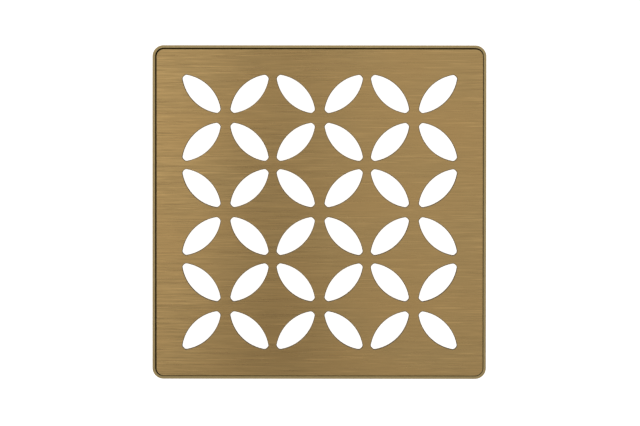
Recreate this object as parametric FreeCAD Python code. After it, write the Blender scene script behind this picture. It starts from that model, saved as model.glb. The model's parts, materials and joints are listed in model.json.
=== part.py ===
"""Square floor drain grate in its tile frame, 100 x 100 mm, in millimetres.

Origin: middle of the square, on the surface that the foot pads stand on.
+X to the right, +Y to the back, +Z up towards the walked-on face.
"""
import FreeCAD, Part
import math
import os

os.makedirs("parts", exist_ok=True)

# Frame rim: an upright strip bent to a rounded square
FRAME_SIZE = 100.0
RIM_THICKNESS = 0.8
RIM_CORNER_RADIUS = 3.3
RIM_TOP = 18.0
RIM_BOTTOM = 6.0
RIM_TOP_ROUND = 0.1
RIM_INNER_HALF = FRAME_SIZE / 2 - RIM_THICKNESS
RIM_INNER_RADIUS = RIM_CORNER_RADIUS - RIM_THICKNESS

# Grate plate, lying loose inside the rim
GRATE_THICKNESS = 3.0
GRATE_PLAY = 0.3
GRATE_SHIFT_X = 0.11
GRATE_SHIFT_Y = -0.11
GRATE_CORNER_RADIUS = 2.2
GRATE_EDGE_ROUND = 0.12
GRATE_BOTTOM = RIM_TOP - GRATE_THICKNESS
GRATE_HALF = RIM_INNER_HALF - GRATE_PLAY

# Petal holes: three by three flowers of four petals, cut a little nearer the plate's back edge
FLOWER_PITCH = 28.25
FLOWER_STEPS = (-1, 0, 1)
PATTERN_SHIFT_Y = 0.10
PETAL_OFFSET = 7.19
PETAL_LENGTH = 14.93
PETAL_WIDTH = 6.32
PETAL_SIDE_RADIUS = 12.4
PETAL_TIP_CORNER_RADIUS = 0.9
PETAL_EDGE_ROUND = 0.2

# Support ledge, welded inside the rim
LEDGE_THICKNESS = 1.2
LEDGE_TOP = 13.0
LEDGE_BOTTOM = LEDGE_TOP - LEDGE_THICKNESS
LEDGE_INNER_HALF = 43.0
LEDGE_CORNER_CUT = 3.0
LEDGE_INNER_RADIUS = 1.5
LEDGE_MIDDLE = (LEDGE_INNER_HALF + RIM_INNER_HALF) / 2

# Fixing holes for M3 screws through the ledge
FIXING_HOLE_DIAMETER = 3.4
FIXING_SPACING_Y = 40.0

# Bumper pads, pushed into the ledge
PAD_POSITION = 34.0
PAD_DIAMETER = 5.0
PAD_TOP_CHAMFER = 0.4
PAD_STEM_DIAMETER = 2.6
PAD_BULB_DIAMETER = 3.6
PAD_BULB_LENGTH = 1.5
PAD_POINT_DIAMETER = 1.6

# Levelling feet, one in each corner
FOOT_POSITION = 44.4
THREAD_DIAMETER = 4.0
THREAD_CLEARANCE = 0.05
LEDGE_STUD_HOLE_DIAMETER = 4.6
SLEEVE_ACROSS_FLATS = 7.0
SLEEVE_LENGTH = 7.5
SLEEVE_BOTTOM = LEDGE_BOTTOM - SLEEVE_LENGTH
SLEEVE_CHAMFER_ANGLE = 30.0
STUD_TOP = 14.5
STUD_TOP_CHAMFER = 0.4
STUD_BOTTOM = 1.25
STUD_NECK_RADIUS = 1.35
STUD_NECK_BOTTOM = 2.35
STUD_NECK_TOP = 3.05
STUD_RADIUS = THREAD_DIAMETER / 2 - THREAD_CLEARANCE
SOCKET_ACROSS_FLATS = 2.0
SOCKET_DEPTH = 2.2
FOOT_RADIUS = 4.0
FOOT_BASE_HEIGHT = 1.4
FOOT_NECK_RADIUS = 3.0
FOOT_TOP = 3.5
FOOT_BORE_FLOOR = 1.2
FOOT_BORE_RADIUS = 2.03
FOOT_LIP_RADIUS = 1.45
FOOT_LIP_BOTTOM = 2.4
FOOT_LIP_TOP = 3.0
FOOT_EDGE_CHAMFER = 0.3

# Anchor lugs, welded inside the rim's lower edge at the middle of each side
LUG_THICKNESS = 1.0
LUG_WIDTH = 14.0
LUG_TOP = 10.5
LUG_BOTTOM = 1.5
LUG_HOLE_DIAMETER = 4.0
LUG_HOLE_HEIGHT = 4.5
LUG_CORNER_RADIUS = 2.0

# Corner name, side of X, side of Y
CORNERS = (("front_left", -1, -1), ("front_right", 1, -1), ("back_left", -1, 1), ("back_right", 1, 1))

X_AXIS = FreeCAD.Vector(1, 0, 0)
Z_AXIS = FreeCAD.Vector(0, 0, 1)
ORIGIN = FreeCAD.Vector(0, 0, 0)
CUT_OVERSHOOT = 1.0
TOLERANCE = 1e-6


def save(shape, node):
    """Write one sub-part's solid to its own STEP file."""
    shape.exportStep("parts/" + node + ".step")


def rounded_square(half, radius, bottom, top):
    """Upright block with a square outline and rounded corners."""
    block = Part.makeBox(2 * half, 2 * half, top - bottom, FreeCAD.Vector(-half, -half, bottom))
    return block.makeFillet(radius, upright_edges(block))


def cylinder(radius, bottom, top, x=0.0, y=0.0):
    """Upright round bar between two heights."""
    return Part.makeCylinder(radius, top - bottom, FreeCAD.Vector(x, y, bottom))


def hexagon(across_flats, bottom, top, flat_direction):
    """Upright hexagonal bar with one flat facing flat_direction, in degrees."""
    half_sector = math.radians(30)
    reach = across_flats / 2 / math.cos(half_sector)
    outline = []
    for step in range(7):
        angle = math.radians(flat_direction) + half_sector * (2 * step + 1)
        outline.append(FreeCAD.Vector(reach * math.cos(angle), reach * math.sin(angle), bottom))
    return Part.Face(Part.makePolygon(outline)).extrude(Z_AXIS * (top - bottom))


def turned(profile):
    """Solid of revolution about Z from a closed outline of (radius, height) points."""
    points = [FreeCAD.Vector(radius, 0, height) for radius, height in profile]
    points.append(points[0])
    return Part.Face(Part.makePolygon(points)).revolve(ORIGIN, Z_AXIS, 360)


def edges_at_height(shape, height):
    """Edges that lie flat at one height."""
    return [
        edge
        for edge in shape.Edges
        if abs(edge.BoundBox.ZMin - height) < TOLERANCE and abs(edge.BoundBox.ZMax - height) < TOLERANCE
    ]


def upright_edges(shape):
    """Edges that run the whole height of a prism."""
    height = shape.BoundBox.ZLength
    return [edge for edge in shape.Edges if abs(edge.BoundBox.ZLength - height) < TOLERANCE]


def petal_cutter():
    """Petal-shaped cutting tool along X: two long arcs between two short blunt ends with rounded corners."""
    half_length = PETAL_LENGTH / 2
    half_width = PETAL_WIDTH / 2
    side_drop = PETAL_SIDE_RADIUS - math.sqrt(PETAL_SIDE_RADIUS ** 2 - half_length ** 2)
    end_half_width = half_width - side_drop

    def point(x, y):
        return FreeCAD.Vector(x, y, GRATE_BOTTOM - CUT_OVERSHOOT)

    left_back, right_back = point(-half_length, end_half_width), point(half_length, end_half_width)
    left_front, right_front = point(-half_length, -end_half_width), point(half_length, -end_half_width)
    outline = Part.Wire([
        Part.Arc(left_back, point(0, half_width), right_back).toShape(),
        Part.makeLine(right_back, right_front),
        Part.Arc(right_front, point(0, -half_width), left_front).toShape(),
        Part.makeLine(left_front, left_back),
    ])
    cutter = Part.Face(outline).extrude(Z_AXIS * (GRATE_THICKNESS + 2 * CUT_OVERSHOOT))
    return cutter.makeFillet(PETAL_TIP_CORNER_RADIUS, upright_edges(cutter))


def grate_plate():
    """Thick plate with three by three flowers of petal holes and softened upper edges."""
    plate = rounded_square(GRATE_HALF, GRATE_CORNER_RADIUS, GRATE_BOTTOM, RIM_TOP)
    plate = plate.makeFillet(GRATE_EDGE_ROUND, edges_at_height(plate, RIM_TOP))
    cutter = petal_cutter()
    petals = []
    for column in FLOWER_STEPS:
        for row in FLOWER_STEPS:
            for side_x, side_y in corners(1, 1):
                petal = cutter.copy()
                petal.rotate(ORIGIN, Z_AXIS, 45 * side_x * side_y)
                x = column * FLOWER_PITCH + side_x * PETAL_OFFSET
                y = row * FLOWER_PITCH + side_y * PETAL_OFFSET + PATTERN_SHIFT_Y
                petal.translate(FreeCAD.Vector(x, y, 0))
                petals.append(petal)
    plate = plate.cut(petals)
    petal_reach = (len(FLOWER_STEPS) - 1) / 2 * FLOWER_PITCH + 2 * PETAL_OFFSET
    petal_edges = [
        edge
        for edge in edges_at_height(plate, RIM_TOP)
        if max(abs(edge.CenterOfMass.x), abs(edge.CenterOfMass.y)) < petal_reach
    ]
    plate = plate.makeFillet(PETAL_EDGE_ROUND, petal_edges)
    plate.translate(FreeCAD.Vector(GRATE_SHIFT_X, GRATE_SHIFT_Y, 0))
    return plate


def frame_rim():
    """Thin upright ring with its top edges rounded."""
    outer = rounded_square(FRAME_SIZE / 2, RIM_CORNER_RADIUS, RIM_BOTTOM, RIM_TOP)
    inner = rounded_square(RIM_INNER_HALF, RIM_INNER_RADIUS,
                           RIM_BOTTOM - CUT_OVERSHOOT, RIM_TOP + CUT_OVERSHOOT)
    ring = outer.cut(inner)
    return ring.makeFillet(RIM_TOP_ROUND, edges_at_height(ring, RIM_TOP))


def support_ledge():
    """Sheet ring that fills the corners, with holes for the studs, pads and fixing screws."""
    low = LEDGE_BOTTOM - CUT_OVERSHOOT
    high = LEDGE_TOP + CUT_OVERSHOOT
    ring = rounded_square(RIM_INNER_HALF, RIM_INNER_RADIUS, LEDGE_BOTTOM, LEDGE_TOP)
    near = LEDGE_INNER_HALF - LEDGE_CORNER_CUT
    far = LEDGE_INNER_HALF
    outline = [(far, near), (near, far), (-near, far), (-far, near),
               (-far, -near), (-near, -far), (near, -far), (far, -near), (far, near)]
    opening = Part.Face(Part.makePolygon([FreeCAD.Vector(x, y, low) for x, y in outline]))
    opening = opening.extrude(Z_AXIS * (high - low))
    opening = opening.makeFillet(LEDGE_INNER_RADIUS, upright_edges(opening))
    holes = [opening]
    for x, y in corners(FOOT_POSITION, FOOT_POSITION):
        holes.append(cylinder(LEDGE_STUD_HOLE_DIAMETER / 2, low, high, x, y))
    for x, y in corners(LEDGE_MIDDLE, PAD_POSITION) + corners(PAD_POSITION, LEDGE_MIDDLE):
        holes.append(cylinder(PAD_STEM_DIAMETER / 2, low, high, x, y))
    for x, y in corners(LEDGE_MIDDLE, FIXING_SPACING_Y / 2):
        holes.append(cylinder(FIXING_HOLE_DIAMETER / 2, low, high, x, y))
    return ring.cut(holes)


def corners(x, y):
    """The four mirror places of one point."""
    return [(side_x * x, side_y * y) for name, side_x, side_y in CORNERS]


def bumper_pad():
    """Rubber button with a stem and a push-in bulb under the ledge."""
    head = PAD_DIAMETER / 2
    stem = PAD_STEM_DIAMETER / 2
    bulb = PAD_BULB_DIAMETER / 2
    return turned([
        (0, GRATE_BOTTOM),
        (head - PAD_TOP_CHAMFER, GRATE_BOTTOM),
        (head, GRATE_BOTTOM - PAD_TOP_CHAMFER),
        (head, LEDGE_TOP),
        (stem, LEDGE_TOP),
        (stem, LEDGE_BOTTOM),
        (bulb, LEDGE_BOTTOM),
        (PAD_POINT_DIAMETER / 2, LEDGE_BOTTOM - PAD_BULB_LENGTH),
        (0, LEDGE_BOTTOM - PAD_BULB_LENGTH),
    ])


def threaded_sleeve():
    """Long hexagonal nut under the ledge, its lower corners chamfered, at the origin."""
    body = hexagon(SLEEVE_ACROSS_FLATS, SLEEVE_BOTTOM, LEDGE_BOTTOM, 45)
    flat = SLEEVE_ACROSS_FLATS / 2
    wide = flat + SLEEVE_LENGTH
    cone = turned([
        (0, SLEEVE_BOTTOM),
        (flat, SLEEVE_BOTTOM),
        (wide, SLEEVE_BOTTOM + SLEEVE_LENGTH * math.tan(math.radians(SLEEVE_CHAMFER_ANGLE))),
        (wide, LEDGE_BOTTOM),
        (0, LEDGE_BOTTOM),
    ])
    bore = cylinder(THREAD_DIAMETER / 2, SLEEVE_BOTTOM - CUT_OVERSHOOT, LEDGE_BOTTOM + CUT_OVERSHOOT)
    return body.common(cone).cut(bore)


def levelling_stud():
    """Threaded stud with a hexagon socket on top and a snap-in neck at the bottom, at the origin."""
    stud = turned([
        (0, STUD_BOTTOM),
        (STUD_RADIUS - STUD_TOP_CHAMFER, STUD_BOTTOM),
        (STUD_RADIUS, STUD_BOTTOM + STUD_TOP_CHAMFER),
        (STUD_RADIUS, STUD_NECK_BOTTOM),
        (STUD_NECK_RADIUS, STUD_NECK_BOTTOM),
        (STUD_NECK_RADIUS, STUD_NECK_TOP),
        (STUD_RADIUS, STUD_NECK_TOP),
        (STUD_RADIUS, STUD_TOP - STUD_TOP_CHAMFER),
        (STUD_RADIUS - STUD_TOP_CHAMFER, STUD_TOP),
        (0, STUD_TOP),
    ])
    return stud.cut(hexagon(SOCKET_ACROSS_FLATS, STUD_TOP - SOCKET_DEPTH, STUD_TOP + CUT_OVERSHOOT, 0))


def foot_pad():
    """Moulded foot with a bore and a lip that snaps over the stud's neck, at the origin."""
    return turned([
        (0, 0),
        (FOOT_RADIUS - FOOT_EDGE_CHAMFER, 0),
        (FOOT_RADIUS, FOOT_EDGE_CHAMFER),
        (FOOT_RADIUS, FOOT_BASE_HEIGHT),
        (FOOT_NECK_RADIUS, FOOT_BASE_HEIGHT + (FOOT_RADIUS - FOOT_NECK_RADIUS) / 2),
        (FOOT_NECK_RADIUS, FOOT_TOP),
        (FOOT_BORE_RADIUS, FOOT_TOP),
        (FOOT_BORE_RADIUS, FOOT_LIP_TOP),
        (FOOT_LIP_RADIUS, FOOT_LIP_TOP),
        (FOOT_LIP_RADIUS, FOOT_LIP_BOTTOM),
        (FOOT_BORE_RADIUS, FOOT_LIP_BOTTOM),
        (FOOT_BORE_RADIUS, FOOT_BORE_FLOOR),
        (0, FOOT_BORE_FLOOR),
    ])


def anchor_lug():
    """Upright tab with rounded lower corners and a mortar hole, inside the right-hand side."""
    outer_face = RIM_INNER_HALF
    tab = Part.makeBox(LUG_THICKNESS, LUG_WIDTH, LUG_TOP - LUG_BOTTOM,
                       FreeCAD.Vector(outer_face - LUG_THICKNESS, -LUG_WIDTH / 2, LUG_BOTTOM))
    lower = [
        edge
        for edge in edges_at_height(tab, LUG_BOTTOM)
        if abs(edge.BoundBox.XLength - LUG_THICKNESS) < TOLERANCE
    ]
    tab = tab.makeFillet(LUG_CORNER_RADIUS, lower)
    hole = Part.makeCylinder(LUG_HOLE_DIAMETER / 2, LUG_THICKNESS + 2 * CUT_OVERSHOOT,
                             FreeCAD.Vector(outer_face - LUG_THICKNESS - CUT_OVERSHOOT, 0, LUG_HOLE_HEIGHT),
                             X_AXIS)
    return tab.cut(hole)


def placed(shape, x, y, turn=0.0):
    """Copy of a shape made at the origin, turned about Z and moved to its place."""
    copy = shape.copy()
    copy.rotate(ORIGIN, Z_AXIS, turn)
    copy.translate(FreeCAD.Vector(x, y, 0))
    return copy


save(frame_rim(), "frame_rim")
save(support_ledge(), "support_ledge")
save(grate_plate(), "grate_plate")

sleeve = threaded_sleeve()
stud = levelling_stud()
foot = foot_pad()
pad = bumper_pad()
for corner, side_x, side_y in CORNERS:
    x = side_x * FOOT_POSITION
    y = side_y * FOOT_POSITION
    flat_turn = 0 if side_x == side_y else 90
    save(placed(sleeve, x, y, flat_turn), "threaded_sleeve_" + corner)
    save(placed(stud, x, y), "levelling_stud_" + corner)
    save(placed(foot, x, y), "foot_pad_" + corner)
    save(placed(pad, side_x * LEDGE_MIDDLE, side_y * PAD_POSITION), "side_bumper_" + corner)
    save(placed(pad, side_x * PAD_POSITION, side_y * LEDGE_MIDDLE), "end_bumper_" + corner)

lug = anchor_lug()
for side, turn in (("right", 0), ("back", 90), ("left", 180), ("front", 270)):
    save(placed(lug, 0, 0, turn), "anchor_lug_" + side)
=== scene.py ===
"""Looks of the square floor drain grate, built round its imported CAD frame, in metres."""

import json
import math

import bmesh
import bpy
from mathutils import Matrix, Vector


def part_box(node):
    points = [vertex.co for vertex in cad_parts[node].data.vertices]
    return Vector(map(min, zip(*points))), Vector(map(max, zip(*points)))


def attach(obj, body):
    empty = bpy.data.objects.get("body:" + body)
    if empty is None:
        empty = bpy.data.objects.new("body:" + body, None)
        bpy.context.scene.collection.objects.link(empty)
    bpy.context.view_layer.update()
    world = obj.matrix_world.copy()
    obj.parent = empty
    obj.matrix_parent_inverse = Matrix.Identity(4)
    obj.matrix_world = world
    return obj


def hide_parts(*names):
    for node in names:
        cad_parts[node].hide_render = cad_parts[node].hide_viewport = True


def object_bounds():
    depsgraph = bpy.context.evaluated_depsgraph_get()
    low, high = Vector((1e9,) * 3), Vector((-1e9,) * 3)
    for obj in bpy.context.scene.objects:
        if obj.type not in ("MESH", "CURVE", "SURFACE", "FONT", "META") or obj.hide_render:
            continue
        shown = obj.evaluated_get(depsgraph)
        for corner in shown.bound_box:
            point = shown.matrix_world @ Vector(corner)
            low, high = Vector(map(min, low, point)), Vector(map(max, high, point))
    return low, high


MM = 0.001

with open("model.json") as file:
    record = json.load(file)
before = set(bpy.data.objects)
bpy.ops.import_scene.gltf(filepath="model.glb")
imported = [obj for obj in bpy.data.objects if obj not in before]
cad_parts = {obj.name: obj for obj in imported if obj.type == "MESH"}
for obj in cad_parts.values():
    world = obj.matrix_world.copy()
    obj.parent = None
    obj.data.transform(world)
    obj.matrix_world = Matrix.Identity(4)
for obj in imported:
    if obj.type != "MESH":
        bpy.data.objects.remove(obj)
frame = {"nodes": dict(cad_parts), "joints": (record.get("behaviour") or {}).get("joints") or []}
cad_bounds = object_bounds()
low, high = cad_bounds
MIDDLE = (low + high) / 2

# Each corner's name, and the sides of X and Y that it lies on.
CORNERS = (("front_left", -1, -1), ("front_right", 1, -1), ("back_left", -1, 1), ("back_right", 1, 1))


# ---------------------------------------------------------------- shader building blocks

# Values between which most of a noise lies: a soft noise, and the sharper one of the brush lines.
NOISE_SPAN = (0.3, 0.7)
LINE_SPAN = (0.2, 0.8)


def new_material(name):
    """Empty node material with an output and a Principled shader."""
    material = bpy.data.materials.new(name)
    material.use_nodes = True
    tree = material.node_tree
    tree.nodes.clear()
    output = tree.nodes.new("ShaderNodeOutputMaterial")
    shader = tree.nodes.new("ShaderNodeBsdfPrincipled")
    tree.links.new(shader.outputs["BSDF"], output.inputs["Surface"])
    return material, tree, shader


def feed(tree, value, socket):
    """Link an output to a socket, or set the socket to a number or colour."""
    if isinstance(value, bpy.types.NodeSocket):
        tree.links.new(value, socket)
    else:
        socket.default_value = value


def object_place(tree):
    """Place on the object, in metres."""
    return tree.nodes.new("ShaderNodeTexCoord").outputs["Object"]


def stretched_noise(tree, coordinates, cells, detail, roughness=0.5):
    """Noise with its own number of cells per metre on each axis."""
    mapping = tree.nodes.new("ShaderNodeMapping")
    mapping.inputs["Scale"].default_value = cells
    tree.links.new(coordinates, mapping.inputs["Vector"])
    noise = tree.nodes.new("ShaderNodeTexNoise")
    noise.inputs["Scale"].default_value = 1.0
    noise.inputs["Detail"].default_value = detail
    noise.inputs["Roughness"].default_value = roughness
    tree.links.new(mapping.outputs["Vector"], noise.inputs["Vector"])
    return noise.outputs["Fac"]


def spread(tree, value, to_low, to_high, span=NOISE_SPAN):
    """Clamped linear map of a value from its span to two new ends."""
    node = tree.nodes.new("ShaderNodeMapRange")
    node.inputs["From Min"].default_value = span[0]
    node.inputs["From Max"].default_value = span[1]
    node.inputs["To Min"].default_value = to_low
    node.inputs["To Max"].default_value = to_high
    tree.links.new(value, node.inputs["Value"])
    return node.outputs["Result"]


def combine(tree, operation, *values):
    """Math node on one or two values, each a socket or a number."""
    node = tree.nodes.new("ShaderNodeMath")
    node.operation = operation
    for place, value in enumerate(values):
        feed(tree, value, node.inputs[place])
    return node.outputs["Value"]


def total(tree, first, *others):
    """Sum of values, each a socket or a number."""
    for value in others:
        first = combine(tree, "ADD", first, value)
    return first


def tinted(tree, colour, tone):
    """A colour, given as a socket or three numbers, made lighter and darker by a value."""
    tint = tree.nodes.new("ShaderNodeVectorMath")
    tint.operation = "SCALE"
    feed(tree, colour, tint.inputs[0])
    tree.links.new(tone, tint.inputs["Scale"])
    return tint.outputs["Vector"]


def vary_roughness(tree, shader, value, roughness, offsets):
    """Roughness that a noise moves from one offset to the other about its own level."""
    level = spread(tree, value, roughness + offsets[0], roughness + offsets[1])
    tree.links.new(level, shader.inputs["Roughness"])


def add_bump(tree, shader, height, strength, distance):
    """Bump on a shader from a noise."""
    bump = tree.nodes.new("ShaderNodeBump")
    bump.inputs["Strength"].default_value = strength
    bump.inputs["Distance"].default_value = distance
    tree.links.new(height, bump.inputs["Height"])
    tree.links.new(bump.outputs["Normal"], shader.inputs["Normal"])


# ---------------------------------------------------------------- brushed metal

UV_NAME = "brush"

# Layers of brush lines: rows per metre across the grain, runs per metre along it, and a seed.
COARSE_LINES = (2900.0, 40.0, 0.3)
MIDDLE_LINES = (5300.0, 90.0, 5.3)
FINE_LINES = (10700.0, 200.0, 9.3)
SCRATCH_LINES = (5300.0, 70.0, 13.3)

# Rows are this many noise cells apart, so that neighbouring rows have nothing in common.
ROW_STRIDE = 5.713

# Bright scratches show only where their noise is high, at this multiple of the line strength.
SCRATCH_SPAN = (0.62, 0.74)
SCRATCH_STRENGTH = 1.8

# Patches per metre, which differ in tint and in the strength of their lines.
PATCH_CELLS = (30.0, 60.0, 1.0)
PATCH_STRENGTHS = (0.7, 1.3)

# The lines are faint round one place along their length, and grow stronger between two distances from it;
# this growth is painted glint, standing in for the highlights that bring the lines out towards the plate's
# ends.
FAINT_MIDDLE = 10.0 * MM
STRENGTH_REACH = (31.0 * MM, 58.0 * MM)
END_STRENGTHS = (0.7, 1.55)

MIDDLE_LINE_ROUGHNESS = 0.04
COARSE_LINE_ROUGHNESS = 0.03

GROOVE_CELLS = (60.0, 5200.0, 1.0)
GROOVE_STRENGTH = 0.1
GROOVE_DEPTH = 0.01 * MM

# Rotation of the anisotropy, in whole turns, that stretches highlights across the lines.
ACROSS_LINES = 0.25


def hair_lines(tree, uv, rows_per_metre, runs_per_metre, seed):
    """Dead straight brush lines: each row across the grain has its own light and dark runs along it."""
    split = tree.nodes.new("ShaderNodeSeparateXYZ")
    tree.links.new(uv, split.inputs["Vector"])
    row = combine(tree, "FLOOR", combine(tree, "MULTIPLY", split.outputs["Y"], rows_per_metre))
    place = tree.nodes.new("ShaderNodeCombineXYZ")
    tree.links.new(combine(tree, "MULTIPLY", split.outputs["X"], runs_per_metre), place.inputs["X"])
    tree.links.new(combine(tree, "MULTIPLY", row, ROW_STRIDE), place.inputs["Y"])
    place.inputs["Z"].default_value = seed
    noise = tree.nodes.new("ShaderNodeTexNoise")
    noise.inputs["Scale"].default_value = 1.0
    noise.inputs["Detail"].default_value = 1.0
    tree.links.new(place.outputs["Vector"], noise.inputs["Vector"])
    return noise.outputs["Fac"]


def end_strength(tree, uv):
    """Strength of the brush lines along their length, from the faint place to the ends, which paints glint
    into the lines' colour.
    """
    split = tree.nodes.new("ShaderNodeSeparateXYZ")
    tree.links.new(uv, split.inputs["Vector"])
    distance = combine(tree, "ABSOLUTE", combine(tree, "SUBTRACT", split.outputs["X"], FAINT_MIDDLE))
    return spread(tree, distance, *END_STRENGTHS, STRENGTH_REACH)


def brushed_metal(name, warm, cool, roughness, line_strength, anisotropy):
    """Brushed metal whose lines run along U of the brush UV map, patchily tinted between two colours."""
    material, tree, shader = new_material(name)
    uv_map = tree.nodes.new("ShaderNodeUVMap")
    uv_map.uv_map = UV_NAME
    uv = uv_map.outputs["UV"]
    coarse = hair_lines(tree, uv, *COARSE_LINES)
    middle = hair_lines(tree, uv, *MIDDLE_LINES)
    fine = hair_lines(tree, uv, *FINE_LINES)
    scratches = hair_lines(tree, uv, *SCRATCH_LINES)
    patches = stretched_noise(tree, uv, PATCH_CELLS, detail=1.0)

    lines = total(tree, *(spread(tree, layer, -line_strength, line_strength, LINE_SPAN)
                          for layer in (coarse, middle, fine)))
    lines = combine(tree, "MULTIPLY", lines, spread(tree, patches, *PATCH_STRENGTHS))
    # Painted glint: the lines' tone swings further towards the ends of their length.
    lines = combine(tree, "MULTIPLY", lines, end_strength(tree, uv))
    bright = spread(tree, scratches, 0.0, SCRATCH_STRENGTH * line_strength, SCRATCH_SPAN)
    blend = tree.nodes.new("ShaderNodeMix")
    blend.data_type = "RGBA"
    blend.inputs["A"].default_value = (*warm, 1.0)
    blend.inputs["B"].default_value = (*cool, 1.0)
    tree.links.new(spread(tree, patches, 0.0, 1.0), blend.inputs["Factor"])
    colour = tinted(tree, blend.outputs["Result"], total(tree, lines, bright, 1.0))
    tree.links.new(colour, shader.inputs["Base Color"])

    rough = total(tree,
                  spread(tree, middle, roughness - MIDDLE_LINE_ROUGHNESS, roughness + MIDDLE_LINE_ROUGHNESS,
                         LINE_SPAN),
                  spread(tree, coarse, -COARSE_LINE_ROUGHNESS, COARSE_LINE_ROUGHNESS, LINE_SPAN))
    tree.links.new(rough, shader.inputs["Roughness"])
    grooves = stretched_noise(tree, uv, GROOVE_CELLS, detail=1.0)
    add_bump(tree, shader, grooves, GROOVE_STRENGTH, GROOVE_DEPTH)

    tangent = tree.nodes.new("ShaderNodeTangent")
    tangent.direction_type = "UV_MAP"
    tangent.uv_map = UV_NAME
    tree.links.new(tangent.outputs["Tangent"], shader.inputs["Tangent"])
    shader.inputs["Metallic"].default_value = 1.0
    shader.inputs["Anisotropic"].default_value = anisotropy
    shader.inputs["Anisotropic Rotation"].default_value = ACROSS_LINES
    return material


# ---------------------------------------------------------------- other finishes

# Noise cells per metre, darkest and lightest tone, and how far roughness goes from its own level.
TURNING_CELLS = (250.0, 250.0, 9000.0)
TURNING_ROUGHNESS = (-0.06, 0.08)
STAIN_CELLS = (700.0, 700.0, 700.0)
STAIN_TONES = (0.9, 1.05)

STRIATION_CELLS = (4500.0, 4500.0, 150.0)
STRIATION_TONES = (0.9, 1.1)
STRIATION_ROUGHNESS = (0.08, -0.05)

HEAT_CELLS = (420.0, 420.0, 420.0)
HEAT_ENDS = (0.35, 0.62)
HEAT_SHADE = (0.55, 0.6, 0.8)
HEAT_ROUGHNESS = (0.1, -0.1)

MOULD_CELLS = (500.0, 500.0, 500.0)
MOULD_TONES = (0.8, 1.25)
MOULD_ROUGHNESS = (-0.08, 0.08)
MOULD_GRAIN_DEPTH = 0.05 * MM


def turned_steel(name, colour, roughness):
    """Bright machined stainless steel with fine turning marks round Z."""
    material, tree, shader = new_material(name)
    place = object_place(tree)
    marks = stretched_noise(tree, place, TURNING_CELLS, detail=2.0)
    stains = stretched_noise(tree, place, STAIN_CELLS, detail=3.0, roughness=0.6)
    tree.links.new(tinted(tree, colour, spread(tree, stains, *STAIN_TONES)), shader.inputs["Base Color"])
    vary_roughness(tree, shader, marks, roughness, TURNING_ROUGHNESS)
    shader.inputs["Metallic"].default_value = 1.0
    return material


def unbrushed_metal(name, colour, roughness, metallic=1.0):
    """Cut edge or inner wall, whose colour is mostly painted shade or a painted highlight: only fine upright
    striations, and less metallic where its metallic value is lowered.
    """
    material, tree, shader = new_material(name)
    striations = stretched_noise(tree, object_place(tree), STRIATION_CELLS, detail=2.0, roughness=0.6)
    tone = spread(tree, striations, *STRIATION_TONES)
    tree.links.new(tinted(tree, colour, tone), shader.inputs["Base Color"])
    vary_roughness(tree, shader, striations, roughness, STRIATION_ROUGHNESS)
    shader.inputs["Metallic"].default_value = metallic
    return material


def heat_tinted(name, colour, roughness):
    """Weld metal, heat tinted in patches from a darker, bluer shade to its own colour."""
    material, tree, shader = new_material(name)
    stain = stretched_noise(tree, object_place(tree), HEAT_CELLS, detail=3.0, roughness=0.6)
    ramp = tree.nodes.new("ShaderNodeValToRGB")
    shaded_end, bare_end = ramp.color_ramp.elements
    shaded_end.position, bare_end.position = HEAT_ENDS
    shaded_end.color = (*(level * share for level, share in zip(colour, HEAT_SHADE)), 1.0)
    bare_end.color = (*colour, 1.0)
    tree.links.new(stain, ramp.inputs["Fac"])
    tree.links.new(ramp.outputs["Color"], shader.inputs["Base Color"])
    vary_roughness(tree, shader, stain, roughness, HEAT_ROUGHNESS)
    shader.inputs["Metallic"].default_value = 1.0
    return material


def moulded(name, colour, roughness, grain_per_metre, grain_strength):
    """Rubber or nylon: dark, with a fine moulded grain and slight tone changes."""
    material, tree, shader = new_material(name)
    place = object_place(tree)
    grain = stretched_noise(tree, place, (grain_per_metre,) * 3, detail=4.0, roughness=0.6)
    tone = stretched_noise(tree, place, MOULD_CELLS, detail=3.0)
    tree.links.new(tinted(tree, colour, spread(tree, tone, *MOULD_TONES)), shader.inputs["Base Color"])
    vary_roughness(tree, shader, grain, roughness, MOULD_ROUGHNESS)
    add_bump(tree, shader, grain, grain_strength, MOULD_GRAIN_DEPTH)
    return material


plate_metal = brushed_metal("bronze_plate_brushed", warm=(0.470, 0.303, 0.119), cool=(0.450, 0.300, 0.122),
                            roughness=0.30, line_strength=0.13, anisotropy=0.7)
frame_metal = brushed_metal("bronze_frame_brushed", warm=(0.320, 0.228, 0.110), cool=(0.305, 0.224, 0.114),
                            roughness=0.33, line_strength=0.05, anisotropy=0.6)
# Painted shade: the dark colour of the petals' rounds stands in for the shade at the edges of the holes.
petal_round_painted_shade = unbrushed_metal("bronze_cut_edge_painted_shade", (0.120, 0.100, 0.064), roughness=0.42)
# Painted shade: the dark, half-metallic colour of the plate's upright walls stands in for the shade in the
# gap and the holes.
cut_wall_painted_shade = unbrushed_metal("bronze_cut_wall_painted_shade", (0.110, 0.070, 0.020), roughness=0.62,
                                 metallic=0.6)
dull_edge_metal = unbrushed_metal("bronze_dull_edge", (0.53, 0.40, 0.19), roughness=0.45)
# Painted highlight: the light colour of the plate's outer round stands in for the light that it catches.
edge_painted_highlight = unbrushed_metal("bronze_edge_painted_highlight", (0.80, 0.59, 0.26), roughness=0.45)
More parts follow.
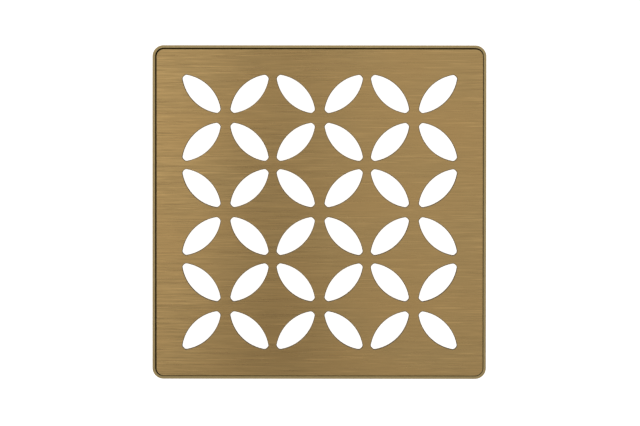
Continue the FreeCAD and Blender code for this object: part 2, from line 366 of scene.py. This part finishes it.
# Painted shade: the dark colour of the rim's inner walls and the ledge stands in for the shade down in the
# gap.
inner_wall_painted_shade = unbrushed_metal("bronze_inner_wall_painted_shade", (0.135, 0.080, 0.016), roughness=0.5)
bare_steel = turned_steel("stainless_turned", (0.62, 0.61, 0.59), roughness=0.24)
rubber = moulded("black_rubber_moulded", (0.022, 0.022, 0.023), roughness=0.62,
                 grain_per_metre=6000.0, grain_strength=0.35)
nylon = moulded("dark_nylon_moulded", (0.05, 0.05, 0.053), roughness=0.42,
                grain_per_metre=3500.0, grain_strength=0.2)
weld_metal = heat_tinted("bronze_weld_bead", (0.34, 0.27, 0.17), roughness=0.40)


# ---------------------------------------------------------------- finishes of the CAD pieces

# Shifts of V that keep the brush lines of upright faces apart from those on top.
SIDE_SHIFT = 0.3
END_SHIFT = 0.6

# Upright parts of a face's normal: above the first it takes the top's lines, below the second it is a wall,
# and above the third it is flat.
TOP_SLOPE = 0.6
WALL_SLOPE = 0.25
FLAT_SLOPE = 0.97

# All petals lie within this distance of the middle, along X and Y, and the plate's outer edges beyond it.
PETAL_LIMIT = 42.5 * MM


def brush_uv(piece):
    """Box-projected UV map in metres, its U along the brush lines: X on top, the strip's length on sides."""
    mesh = piece.data
    layer = mesh.uv_layers.new(name=UV_NAME)
    mesh.uv_layers.active = layer
    for face in mesh.polygons:
        normal = face.normal
        for corner in face.loop_indices:
            point = mesh.vertices[mesh.loops[corner].vertex_index].co
            if abs(normal.z) > TOP_SLOPE:
                layer.data[corner].uv = (point.x, point.y)
            elif abs(normal.x) > abs(normal.y):
                layer.data[corner].uv = (point.y, point.z + SIDE_SHIFT)
            else:
                layer.data[corner].uv = (point.x, point.z + END_SHIFT)


def finish_with(piece, material):
    """Give a piece one material all over."""
    piece.data.materials.clear()
    piece.data.materials.append(material)


def add_finishes(piece, *materials):
    """Append materials to a piece, and give back the slot number of each."""
    first = len(piece.data.materials)
    for material in materials:
        piece.data.materials.append(material)
    return range(first, first + len(materials))


def mark_plate_faces(plate):
    """Painted shade on the petals' rounds, a painted highlight on the outer round, painted shade on all
    upright walls.
    """
    petal_round, outer_round, cut_wall = add_finishes(plate, petal_round_painted_shade, edge_painted_highlight, cut_wall_painted_shade)
    for face in plate.data.polygons:
        from_middle = face.center - MIDDLE
        upright = abs(face.normal.z)
        if upright < WALL_SLOPE:
            face.material_index = cut_wall
        elif upright < FLAT_SLOPE:
            is_petal = max(abs(from_middle.x), abs(from_middle.y)) < PETAL_LIMIT
            face.material_index = petal_round if is_petal else outer_round


def mark_rim_faces(rim):
    """Dull sheared metal on the rim's top and bottom edges, unbrushed metal in painted shade on its inner
    walls.
    """
    sheared_edge, inner_wall = add_finishes(rim, dull_edge_metal, inner_wall_painted_shade)
    for face in rim.data.polygons:
        inward = (MIDDLE - face.center) * Vector((1, 1, 0))
        if abs(face.normal.z) > WALL_SLOPE:
            face.material_index = sheared_edge
        elif face.normal.dot(inward) > 0:
            face.material_index = inner_wall


for name, node in frame["nodes"].items():
    if name == "grate_plate":
        brush_uv(node)
        finish_with(node, plate_metal)
        mark_plate_faces(node)
    elif name == "frame_rim":
        brush_uv(node)
        finish_with(node, frame_metal)
        mark_rim_faces(node)
    elif name == "support_ledge":
        # Painted shade: the ledge takes the dark inner wall colour, which stands in for the shade under the
        # plate.
        finish_with(node, inner_wall_painted_shade)
    elif name.startswith(("threaded_sleeve", "anchor_lug")):
        brush_uv(node)
        finish_with(node, frame_metal)
    elif name.startswith("foot_pad"):
        finish_with(node, nylon)
    else:
        finish_with(node, rubber)


# ---------------------------------------------------------------- threaded studs

PITCH = 0.7 * MM
THREAD_RADIUS = 1.95 * MM
THREAD_DEPTH = 0.40 * MM
THREAD_RUNOUT = 0.7 * MM
# Shares of half a pitch: half the crest, and one flank.
THREAD_CREST = 0.12
THREAD_FLANK = 0.66
NECK_RADIUS = 1.35 * MM
NECK_BOTTOM = 2.35 * MM
NECK_TOP = 3.05 * MM
END_CHAMFER = 0.4 * MM
END_CENTRE_RADIUS = 0.3 * MM
SOCKET_ACROSS_FLATS = 2.0 * MM
SOCKET_DEPTH = 2.2 * MM
SOCKET_POINT_DEPTH = 0.4 * MM
SOCKET_CHAMFER = 0.12 * MM
ROUND_STEPS = 36
STEPS_PER_TURN = 10
SMOOTH_ANGLE = math.radians(35)


def thread_radius(angle, height, bottom, top):
    """Radius of a right-hand 60-degree thread that runs out at both ends."""
    phase = (height / PITCH - angle / (2 * math.pi)) % 1.0
    groove = 1 - abs(2 * phase - 1)
    groove = min(max((groove - THREAD_CREST) / THREAD_FLANK, 0.0), 1.0)
    runout = min((height - bottom) / THREAD_RUNOUT, (top - height) / THREAD_RUNOUT, 1.0)
    return THREAD_RADIUS - THREAD_DEPTH * groove * max(runout, 0.0)


def socket_radius(angle):
    """Distance from the axis to the hexagon socket's side in one direction."""
    sector = math.radians(60)
    return SOCKET_ACROSS_FLATS / 2 / math.cos((angle % sector) - sector / 2)


def object_from(name, shape):
    """Scene object from a bmesh, with outward normals and shading that keeps sharp edges."""
    bmesh.ops.recalc_face_normals(shape, faces=shape.faces)
    mesh = bpy.data.meshes.new(name)
    shape.to_mesh(mesh)
    shape.free()
    mesh.shade_smooth()
    mesh.set_sharp_from_angle(angle=SMOOTH_ANGLE)
    piece = bpy.data.objects.new(name, mesh)
    bpy.context.scene.collection.objects.link(piece)
    return piece


def join_rings(shape, rings, poles=()):
    """Faces between neighbouring rings of vertices, and over each end one face, or a fan round its pole."""
    around = [(step, (step + 1) % len(rings[0])) for step in range(len(rings[0]))]
    for first, second in zip(rings, rings[1:]):
        for step, ahead in around:
            shape.faces.new((first[step], first[ahead], second[ahead], second[step]))
    if poles:
        for pole, ring in zip(poles, (rings[0], rings[-1])):
            for step, ahead in around:
                shape.faces.new((pole, ring[step], ring[ahead]))
    else:
        shape.faces.new(rings[0])
        shape.faces.new(rings[-1])


def lathe(name, x, y, outline):
    """Closed mesh from (radius, height) rings round an upright axis; a radius may depend on the angle."""
    shape = bmesh.new()
    rings = []
    for radius, height in outline:
        ring = []
        for step in range(ROUND_STEPS):
            angle = 2 * math.pi * step / ROUND_STEPS
            reach = radius(angle) if callable(radius) else radius
            ring.append(shape.verts.new((x + reach * math.cos(angle), y + reach * math.sin(angle), height)))
        rings.append(ring)
    join_rings(shape, rings)
    return object_from(name, shape)


def threaded_stud(corner):
    """Levelling stud with a real helical thread, a hexagon socket and a snap-in neck."""
    stud_low, stud_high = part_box("levelling_stud_" + corner)
    middle = (stud_low + stud_high) / 2
    bottom, top = stud_low.z, stud_high.z
    thread_bottom = NECK_TOP + END_CHAMFER
    thread_top = top - END_CHAMFER
    outline = [
        (END_CENTRE_RADIUS, top - SOCKET_DEPTH - SOCKET_POINT_DEPTH),
        (socket_radius, top - SOCKET_DEPTH),
        (socket_radius, top - SOCKET_CHAMFER),
        (lambda angle: socket_radius(angle) + SOCKET_CHAMFER, top),
        (THREAD_RADIUS - END_CHAMFER, top),
    ]
    count = int((thread_top - thread_bottom) / PITCH * STEPS_PER_TURN)
    for step in range(count + 1):
        height = thread_top + (thread_bottom - thread_top) * step / count
        outline.append((lambda angle, height=height: thread_radius(angle, height, thread_bottom, thread_top),
                        height))
    outline += [
        (THREAD_RADIUS - END_CHAMFER, NECK_TOP),
        (NECK_RADIUS, NECK_TOP),
        (NECK_RADIUS, NECK_BOTTOM),
        (THREAD_RADIUS, NECK_BOTTOM),
        (THREAD_RADIUS, bottom + END_CHAMFER),
        (THREAD_RADIUS - END_CHAMFER, bottom),
        (END_CENTRE_RADIUS, bottom),
    ]
    return lathe("stud_threaded_" + corner, middle.x, middle.y, outline)


for corner, _, _ in CORNERS:
    stud = threaded_stud(corner)
    finish_with(stud, bare_steel)
    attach(stud, "stud_" + corner)
    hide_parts("levelling_stud_" + corner)


# ---------------------------------------------------------------- weld beads

BEAD_RADIUS = 0.55 * MM
BEAD_RIPPLE = 0.07 * MM
RIPPLE_PITCH = 0.75 * MM
BEAD_STEP = 0.16 * MM
BEAD_SINK = 0.05 * MM
BEAD_INSET = 0.1 * MM
BEAD_SIDES = 12
FEWEST_BEAD_STEPS = 4
# Square of a bead's smallest swell, which leaves a small flat on its round ends.
END_SWELL_SQUARED = 0.02

RIM_TACK_PLACES = (-27.0 * MM, 27.0 * MM)
RIM_TACK_LENGTH = 9.0 * MM
SLEEVE_TACK_ANGLES = (0.0, 105.0, -105.0)
SLEEVE_TACK_SWEEP = math.radians(52)
# Share of the sleeve's half width that its tacks run on, and share of a bead's radius that they have.
SLEEVE_TACK_PLACE = 0.93
SLEEVE_TACK_SIZE = 0.85

LUG_THICKNESS = 1.0 * MM
LUG_SPOT_OFFSETS = (-4.6 * MM, 4.6 * MM)
LUG_SPOT_HEIGHT = 8.4 * MM
LUG_SPOT_RADIUS = 1.15 * MM
LUG_SPOT_RISE = 0.12 * MM
LUG_SPOT_SEGMENTS = 24
LUG_SPOT_RINGS = 12


def add_bead(shape, path, radius):
    """Rippled, round-ended bead of weld along a path of points, added to a bmesh."""
    length = sum((b - a).length for a, b in zip(path, path[1:]))
    travelled = 0.0
    rings = []
    for place, point in enumerate(path):
        if place:
            travelled += (point - path[place - 1]).length
        ahead = path[min(place + 1, len(path) - 1)] - path[max(place - 1, 0)]
        along = ahead.normalized()
        across = along.cross(Vector((0, 0, 1))).normalized()
        upward = across.cross(along)
        end_gap = min(travelled, length - travelled) / radius
        swell = math.sqrt(max(1 - (1 - min(end_gap, 1.0)) ** 2, END_SWELL_SQUARED))
        ripple = BEAD_RIPPLE * (0.5 + 0.5 * math.cos(2 * math.pi * travelled / RIPPLE_PITCH))
        size = (radius - ripple) * swell
        ring = []
        for step in range(BEAD_SIDES):
            angle = 2 * math.pi * step / BEAD_SIDES
            spoke = across * math.cos(angle) + upward * math.sin(angle)
            ring.append(shape.verts.new(point + spoke * size))
        rings.append(ring)
    join_rings(shape, rings)


def add_spot(shape, place):
    """Spot weld, a unit sphere squashed and moved by a matrix, added to a bmesh."""
    poles = [shape.verts.new(place @ Vector((0, 0, end))) for end in (1, -1)]
    rings = []
    for row in range(1, LUG_SPOT_RINGS):
        polar = math.pi * row / LUG_SPOT_RINGS
        ring = []
        for step in range(LUG_SPOT_SEGMENTS):
            angle = 2 * math.pi * step / LUG_SPOT_SEGMENTS
            spoke = Vector((math.cos(angle), math.sin(angle), 0)) * math.sin(polar)
            ring.append(shape.verts.new(place @ (spoke + Vector((0, 0, math.cos(polar))))))
        rings.append(ring)
    join_rings(shape, rings, poles)


def straight(start, end):
    """Points along a straight run, about a bead step apart."""
    count = max(int((end - start).length / BEAD_STEP), FEWEST_BEAD_STEPS)
    return [start.lerp(end, step / count) for step in range(count + 1)]


def arc_round(x, y, height, radius, middle_angle, sweep):
    """Points along a level arc, about a bead step apart."""
    count = max(int(radius * sweep / BEAD_STEP), FEWEST_BEAD_STEPS)
    points = []
    for step in range(count + 1):
        angle = middle_angle + sweep * (step / count - 0.5)
        points.append(Vector((x + radius * math.cos(angle), y + radius * math.sin(angle), height)))
    return points


ledge_low, ledge_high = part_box("support_ledge")
weld_height = ledge_low.z - BEAD_SINK
weld_line = ledge_high.x - BEAD_INSET
beads = bmesh.new()
for turn in range(4):
    around = Matrix.Rotation(turn * math.pi / 2, 3, "Z")
    for place in RIM_TACK_PLACES:
        start = around @ Vector((weld_line, place - RIM_TACK_LENGTH / 2, weld_height))
        end = around @ Vector((weld_line, place + RIM_TACK_LENGTH / 2, weld_height))
        add_bead(beads, straight(start, end), BEAD_RADIUS)
for corner, side_x, side_y in CORNERS:
    sleeve_low, sleeve_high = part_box("threaded_sleeve_" + corner)
    middle = (sleeve_low + sleeve_high) / 2
    outward = math.atan2(side_y, side_x)
    tack_radius = (sleeve_high.x - sleeve_low.x) / 2 * SLEEVE_TACK_PLACE
    for offset in SLEEVE_TACK_ANGLES:
        tack = arc_round(middle.x, middle.y, weld_height, tack_radius, outward + math.radians(offset),
                         SLEEVE_TACK_SWEEP)
        add_bead(beads, tack, BEAD_RADIUS * SLEEVE_TACK_SIZE)
weld_beads = object_from("weld_beads", beads)
finish_with(weld_beads, weld_metal)
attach(weld_beads, "frame")

spots = bmesh.new()
lug_inner_face = ledge_high.x - LUG_THICKNESS
for turn in range(4):
    for offset in LUG_SPOT_OFFSETS:
        place = (Matrix.Rotation(turn * math.pi / 2, 4, "Z")
                 @ Matrix.Translation((lug_inner_face, offset, LUG_SPOT_HEIGHT))
                 @ Matrix.Diagonal((LUG_SPOT_RISE, LUG_SPOT_RADIUS, LUG_SPOT_RADIUS, 1.0)))
        add_spot(spots, place)
spot_welds = object_from("lug_spot_welds", spots)
finish_with(spot_welds, weld_metal)
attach(spot_welds, "frame")


# ---------------------------------------------------------------- floor

FLOOR_SIZE = 30.0
FLOOR_CELLS = (3.0, 3.0, 3.0)
FLOOR_GREYS = (0.79, 0.81)
FLOOR_ROUGHNESS = 0.9
FLOOR_SPECULAR = 0.1
FLOOR_GLOW = 0.9
WHITE = (1.0, 1.0, 1.0, 1.0)


def floor_material():
    """Pale studio floor that glows a little, as an evenly lit sweep does."""
    material, tree, shader = new_material("pale_floor")
    mottle = stretched_noise(tree, object_place(tree), FLOOR_CELLS, detail=2.0)
    grey = tree.nodes.new("ShaderNodeCombineColor")
    shade = spread(tree, mottle, *FLOOR_GREYS)
    for channel in ("Red", "Green", "Blue"):
        tree.links.new(shade, grey.inputs[channel])
    tree.links.new(grey.outputs["Color"], shader.inputs["Base Color"])
    shader.inputs["Roughness"].default_value = FLOOR_ROUGHNESS
    shader.inputs["Specular IOR Level"].default_value = FLOOR_SPECULAR
    shader.inputs["Emission Color"].default_value = WHITE
    shader.inputs["Emission Strength"].default_value = FLOOR_GLOW
    return material


# The floor is as far below the feet as they travel, so that they don't sink into it at full reach.
foot_reach = max(joint["range_m"][1] for joint in frame["joints"] if joint["name"].startswith("foot_travel"))
bpy.ops.mesh.primitive_plane_add(size=FLOOR_SIZE, location=(0, 0, low.z - foot_reach))
floor = bpy.context.object
floor.name = "studio_floor"
finish_with(floor, floor_material())


# ---------------------------------------------------------------- light

SOFTBOX_LENGTH = 400.0 * MM
SOFTBOX_HEIGHT = 300.0 * MM
SOFTBOX_TURN = math.radians(2.8)

# Strength of the surroundings overhead and at the sides, and the upward slopes between which it changes.
OVERHEAD_STRENGTH = 0.245
SIDE_STRENGTH = 0.7
CEILING_SPAN = (0.45, 0.85)


def softbox(name, x, y, width, turn, power):
    """Long softbox overhead that faces straight down, turned a little about the upright."""
    data = bpy.data.lights.new(name, "AREA")
    data.shape = "RECTANGLE"
    data.size = width
    data.size_y = SOFTBOX_LENGTH
    data.energy = power
    light = bpy.data.objects.new(name, data)
    light.location = (x, y, SOFTBOX_HEIGHT)
    light.rotation_euler = (0, 0, turn)
    light.visible_camera = False
    bpy.context.scene.collection.objects.link(light)


def studio_world():
    """Studio surroundings: pale walls all round and a darker ceiling."""
    world = bpy.data.worlds.new("studio")
    world.use_nodes = True
    tree = world.node_tree
    direction = tree.nodes.new("ShaderNodeTexCoord").outputs["Generated"]
    split = tree.nodes.new("ShaderNodeSeparateXYZ")
    tree.links.new(direction, split.inputs["Vector"])
    strength = spread(tree, split.outputs["Z"], SIDE_STRENGTH, OVERHEAD_STRENGTH, CEILING_SPAN)
    background = tree.nodes["Background"]
    tree.links.new(strength, background.inputs["Strength"])
    background.inputs["Color"].default_value = WHITE
    return world


softbox("softbox_left", x=-63.0 * MM, y=100.0 * MM, width=71.0 * MM, turn=-SOFTBOX_TURN, power=0.0755)
softbox("softbox_right", x=50.0 * MM, y=90.0 * MM, width=120.0 * MM, turn=SOFTBOX_TURN, power=0.0900)
bpy.context.scene.world = studio_world()


# ---------------------------------------------------------------- camera

SENSOR = 36.0
LENS = 300.0
VIEW_WIDTH = 191.7 * MM
VIEW_MIDDLE = (0.16 * MM, -0.23 * MM)
VIEW_ROLL = math.radians(0.05)
CAMERA_BACKSET = 45.0 * MM
CAMERA_CLIP = (0.05, 40.0)

# The camera looks down from over a line near the plate's back edge.
camera_data = bpy.data.cameras.new("packshot")
camera_data.sensor_width = SENSOR
camera_data.lens = LENS
camera_data.clip_start, camera_data.clip_end = CAMERA_CLIP
camera = bpy.data.objects.new("packshot", camera_data)
camera_height = VIEW_WIDTH * LENS / SENSOR
camera.location = (VIEW_MIDDLE[0], VIEW_MIDDLE[1] + CAMERA_BACKSET, high.z + camera_height)
camera.rotation_euler = (-math.atan2(CAMERA_BACKSET, camera_height), 0, VIEW_ROLL)
bpy.context.scene.collection.objects.link(camera)
bpy.context.scene.camera = camera
bpy.context.scene.view_settings.view_transform = "Standard"
